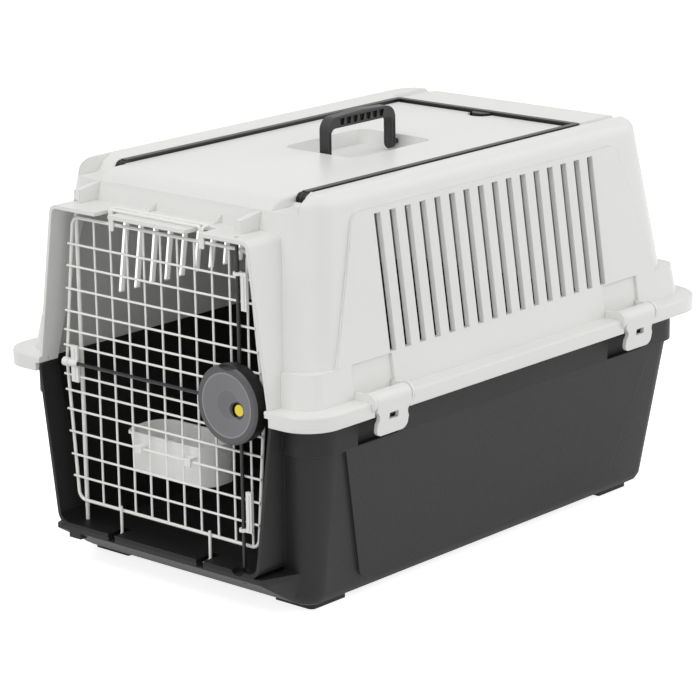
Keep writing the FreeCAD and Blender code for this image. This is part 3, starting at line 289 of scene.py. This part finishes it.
def knob_rings(material):
    """Rings of the knob: painted shade on its flat middle, a painted highlight round the dish, a darker rim,
    a nearly black side.

    Beside the button, a dark disc shifted towards the middle is painted shade, in place of the shadow in the
    button's hole.
    """
    tree = material.node_tree
    axes = object_axes(tree)
    behind = maths(tree, "SUBTRACT", axes["Y"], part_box("lock_knob")[0][1])
    radius = distance_from(tree, axes, "lock_knob")
    # Painted shade: the flat middle of the dish is darker.
    tint(tree, KNOB_MIDDLE_SHADE, within(tree, radius, DISH_FLAT_R))
    tint(tree, KNOB_RING, between(tree, radius, DISH_R, DISH_R + RING_SOFT))
    # Painted highlight: a pale ring along the dish's edge.
    edge = maths(tree, "SUBTRACT", radius, DISH_R + RING_SOFT)
    tint(tree, KNOB_RIM_HIGHLIGHT, within(tree, maths(tree, "ABSOLUTE", edge, 0.0), RING_SOFT))
    side = maths(tree, "MULTIPLY", between(tree, behind, *SIDE_DEEP), between(tree, radius, *SIDE_R))
    tint(tree, KNOB_SIDE, side)
    # Painted shade: a dark disc in the window, to the left of the button.
    shade_spot = within(tree, distance_from(tree, axes, "lock_indicator", -SHADE_SPOT_SHIFT), SHADE_SPOT_R)
    tint(tree, WINDOW_SHADE, shade_spot)


def inside_box(tree, axes, low, high, soft):
    """1 inside the box between two corners, 0 outside it."""
    mask = 1.0
    for name, start, end in zip("XYZ", low, high):
        above = between(tree, axes[name], start - soft, start)
        below = maths(tree, "SUBTRACT", 1.0, between(tree, axes[name], end, end + soft))
        mask = maths(tree, "MULTIPLY", mask, maths(tree, "MULTIPLY", above, below))
    return mask


def paint_sill_shade(material):
    """Painted shade: the sill inside the doorway is coloured blacker than the outside of the tub."""
    tree = material.node_tree
    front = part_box("base_shell")[0][1]
    low = (-SILL_HALF, front - MM, SILL_LOW)
    high = (SILL_HALF, front + SILL_DEEP, SILL_HIGH)
    tint(tree, SILL_PAINTED_SHADE, inside_box(tree, object_axes(tree), low, high, SILL_SOFT))


# One finish for each slot: colour, roughness, grain scale, grain height, variation, edge radius.
# With a roughness of 0.27 the pale plastics came out speckled, with 0.33 they don't.
materials = {
    # The last number of the tub, the handle and the bail paints a highlight on their rounded edges.
    "base": moulded("base_charcoal", srgb(39, 37, 38), 0.56, 750.0, 0.00028, 0.08, 0.0009, edge_shine=0.35),
    "shell": moulded("shell_white", srgb(238, 238, 236), 0.33, 900.0, 0.00001, 0.010, 0.0012),
    "feet": moulded("foot_pad", srgb(34, 32, 33), 0.7, 800.0, 0.00008, 0.06, 0.0009),
    "wire": moulded("wire_coat", srgb(250, 250, 247), 0.33, 300.0, 0.00003, 0.015, 0.0004),
    "guide": moulded("guide_white", srgb(246, 246, 244), 0.34, 700.0, 0.00001, 0.015, 0.0005),
    "lock_dark": moulded("lock_dark", srgb(30, 30, 31), 0.5, 900.0, 0.00003, 0.05, 0.0005),
    "knob": moulded("knob_grey", srgb(116, 116, 119), 0.44, 1000.0, 0.00003, 0.03, 0.0007),
    "mark": moulded("mark_yellow", srgb(244, 224, 60), 0.35, 700.0, 0.00001, 0.03, 0.0005),
    "bolt": moulded("bolt_black", srgb(20, 20, 21), 0.42, 700.0, 0.00002, 0.08, 0.0004),
    "bowl": moulded("bowl_white", srgb(246, 246, 244), 0.33, 600.0, 0.00001, 0.015, 0.0006),
    "handle": moulded("handle_grey", srgb(40, 40, 41), 0.42, 900.0, 0.00004, 0.05, 0.0008, edge_shine=0.9),
    "bail": moulded("bail_black", srgb(22, 22, 23), 0.40, 900.0, 0.00003, 0.05, 0.0006, edge_shine=0.2),
    "steel": moulded("screw_steel", srgb(150, 150, 152), 0.35, 500.0, 0.00001, 0.05, 0.0003),
}
knob_rings(materials["knob"])
# Painted shade on the sill inside the doorway.
paint_sill_shade(materials["base"])
# Beyond moulded(): the screw is metal, the tub is less shiny, and the bowl lets light in a little.
shader_of(materials["steel"]).inputs["Metallic"].default_value = 1.0
shader_of(materials["base"]).inputs["Specular IOR Level"].default_value = 0.3
milky = shader_of(materials["bowl"])
milky.inputs["Subsurface Weight"].default_value = 0.35
milky.inputs["Subsurface Scale"].default_value = 0.004
milky.inputs["Subsurface Radius"].default_value = (1.0, 1.0, 0.9)


def smooth_group():
    """Modifier tree that joins the split facets of a node and shades it smooth between its real edges."""
    group = bpy.data.node_groups.new("smooth_facets", "GeometryNodeTree")
    group.interface.new_socket("Geometry", in_out="INPUT", socket_type="NodeSocketGeometry")
    group.interface.new_socket("Geometry", in_out="OUTPUT", socket_type="NodeSocketGeometry")
    start = add_node(group, "NodeGroupInput")
    end = add_node(group, "NodeGroupOutput")
    merge = add_node(group, "GeometryNodeMergeByDistance")
    merge.inputs["Distance"].default_value = MERGE_DISTANCE
    faces = add_node(group, "GeometryNodeSetShadeSmooth")
    edges = add_node(group, "GeometryNodeSetShadeSmooth", domain="EDGE")
    angle = add_node(group, "GeometryNodeInputMeshEdgeAngle")
    limit = add_node(group, "FunctionNodeCompare", operation="LESS_THAN")
    limit.inputs["B"].default_value = SMOOTH_ANGLE
    link(group, start.outputs[0], merge.inputs["Geometry"])
    link(group, merge.outputs["Geometry"], faces.inputs["Geometry"])
    link(group, faces.outputs["Geometry"], edges.inputs["Geometry"])
    link(group, angle.outputs["Unsigned Angle"], limit.inputs["A"])
    link(group, limit.outputs["Result"], edges.inputs["Shade Smooth"])
    link(group, edges.outputs["Geometry"], end.inputs[0])
    return group


smooth_facets = smooth_group()
slot_of = {part["node"]: part["material_slot"] for part in frame["record"]["subparts"]}
for node_name, node in nodes.items():
    node.data.materials.clear()
    node.data.materials.append(materials[slot_of[node_name]])
    modifier = node.modifiers.new("smooth_facets", "NODES")
    modifier.node_group = smooth_facets


def add_object(name, data):
    thing = bpy.data.objects.new(name, data)
    bpy.context.scene.collection.objects.link(thing)
    return thing


def rim_path(grow):
    """Plan along the right side, round both rear corners and back along the left side, moved out by grow."""
    corner = LIP_CORNER + grow
    middle_x = LIP_HALF - LIP_CORNER
    middle_y = LIP_REAR - LIP_CORNER
    right = [(LIP_HALF + grow, LIP_START)]
    for i in range(LIP_STEPS + 1):
        angle = math.pi / 2 * i / LIP_STEPS
        right.append((middle_x + corner * math.cos(angle), middle_y + corner * math.sin(angle)))
    return right + [(-x, y) for x, y in reversed(right)]


def cover_inner_lip():
    """A four-sided bar along the rim path, closed at both ends."""
    shape = bmesh.new()
    rings = []
    for (x0, y0), (x1, y1) in zip(rim_path(0.0), rim_path(LIP_THICK)):
        corners = ((x0, y0, LIP_LOW), (x1, y1, LIP_LOW), (x1, y1, LIP_HIGH), (x0, y0, LIP_HIGH))
        rings.append([shape.verts.new(Vector(corner) * MM) for corner in corners])
    for near, far in zip(rings, rings[1:]):
        for k in range(4):
            shape.faces.new((near[k], near[(k + 1) % 4], far[(k + 1) % 4], far[k]))
    shape.faces.new(rings[0])
    shape.faces.new(rings[-1])
    bmesh.ops.recalc_face_normals(shape, faces=shape.faces)
    mesh = bpy.data.meshes.new("cover_inner_lip")
    shape.to_mesh(mesh)
    shape.free()
    mesh.materials.append(materials["shell"])
    lip = add_object("cover_inner_lip", mesh)
    rounding = lip.modifiers.new("rounding", "BEVEL")
    rounding.width = LIP_EDGE * MM
    rounding.segments = LIP_EDGE_STEPS
    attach(lip, "carrier")


cover_inner_lip()


def white_for_camera(tree):
    """1 for the rays that should see the plain background, 0 for the rays that carry light."""
    path = add_node(tree, "ShaderNodeLightPath").outputs
    seen = maths(tree, "MAXIMUM", path["Is Camera Ray"], path["Is Glossy Ray"])
    return maths(tree, "MAXIMUM", seen, path["Is Transmission Ray"])


def make_floor():
    mesh = bpy.data.meshes.new("floor")
    corners = [(x * FLOOR_HALF, y * FLOOR_HALF, 0) for x, y in ((-1, -1), (1, -1), (1, 1), (-1, 1))]
    mesh.from_pydata(corners, [], [(0, 1, 2, 3)])
    floor = add_object("floor", mesh)
    material = bpy.data.materials.new("floor_white")
    material.use_nodes = True
    tree = material.node_tree
    shader = shader_of(material)
    shader.inputs["Base Color"].default_value = FLOOR_GREY
    shader.inputs["Roughness"].default_value = FLOOR_ROUGH
    shader.inputs["Specular IOR Level"].default_value = 0.0
    shader.inputs["Emission Color"].default_value = WHITE
    glow = maths(tree, "MULTIPLY", white_for_camera(tree), FLOOR_GLOW)
    link(tree, glow, shader.inputs["Emission Strength"])
    mesh.materials.append(material)


def make_world():
    world = bpy.data.worlds.new("studio")
    bpy.context.scene.world = world
    world.use_nodes = True
    sky = world.node_tree
    background = sky.nodes["Background"]
    background.inputs["Color"].default_value = WHITE
    level = add_node(sky, "ShaderNodeMapRange")
    level.inputs["To Min"].default_value = WORLD_LIGHT
    level.inputs["To Max"].default_value = 1.0
    link(sky, white_for_camera(sky), level.inputs["Value"])
    link(sky, level.outputs["Result"], background.inputs["Strength"])


def area_lamp(name, place, aim, size, power):
    data = bpy.data.lights.new(name, "AREA")
    data.shape = "RECTANGLE"
    data.size, data.size_y = size
    data.energy = power
    lamp = add_object(name, data)
    direction = Vector(aim) - Vector(place)
    lamp.matrix_world = Matrix.Translation(place) @ direction.to_track_quat("-Z", "Y").to_matrix().to_4x4()


def place_camera():
    right = Vector((math.cos(CAM_AZIMUTH), math.sin(CAM_AZIMUTH), 0.0))
    flat = math.cos(CAM_ELEVATION)
    back = Vector((math.sin(CAM_AZIMUTH) * flat, -math.cos(CAM_AZIMUTH) * flat, math.sin(CAM_ELEVATION)))
    up = back.cross(right)
    aim = right * CAM_AIM_RIGHT + up * CAM_AIM_UP + Vector((0.0, COLLAR_FRONT_Y, 0.0))
    place = (aim + back * CAM_DISTANCE) * MM
    rolled_right = right * math.cos(CAM_ROLL) - up * math.sin(CAM_ROLL)
    rolled_up = right * math.sin(CAM_ROLL) + up * math.cos(CAM_ROLL)
    data = bpy.data.cameras.new("camera")
    data.lens = FOCAL_PX / IMAGE_SIDE * SENSOR
    data.sensor_width = SENSOR
    data.sensor_fit = "HORIZONTAL"
    data.clip_start = CLIP_NEAR
    data.clip_end = CLIP_FAR
    camera = add_object("camera", data)
    turn = Matrix((rolled_right, rolled_up, back)).transposed().to_4x4()
    camera.matrix_world = Matrix.Translation(place) @ turn
    bpy.context.scene.camera = camera


make_floor()
make_world()
area_lamp("lamp_front", (-0.2, -1.5, 2.4), (0.0, -0.1, 0.3), (2.4, 1.6), 24.0)
area_lamp("lamp_right_rear", (1.5, 1.5, 1.3), (0.0, 0.1, 0.2), (2.6, 2.0), 17.0)
area_lamp("lamp_fill", (1.7, -1.5, 0.8), (0.0, 0.0, 0.2), (1.2, 1.2), 3.0)
place_camera()
bpy.context.scene.view_settings.view_transform = "Standard"
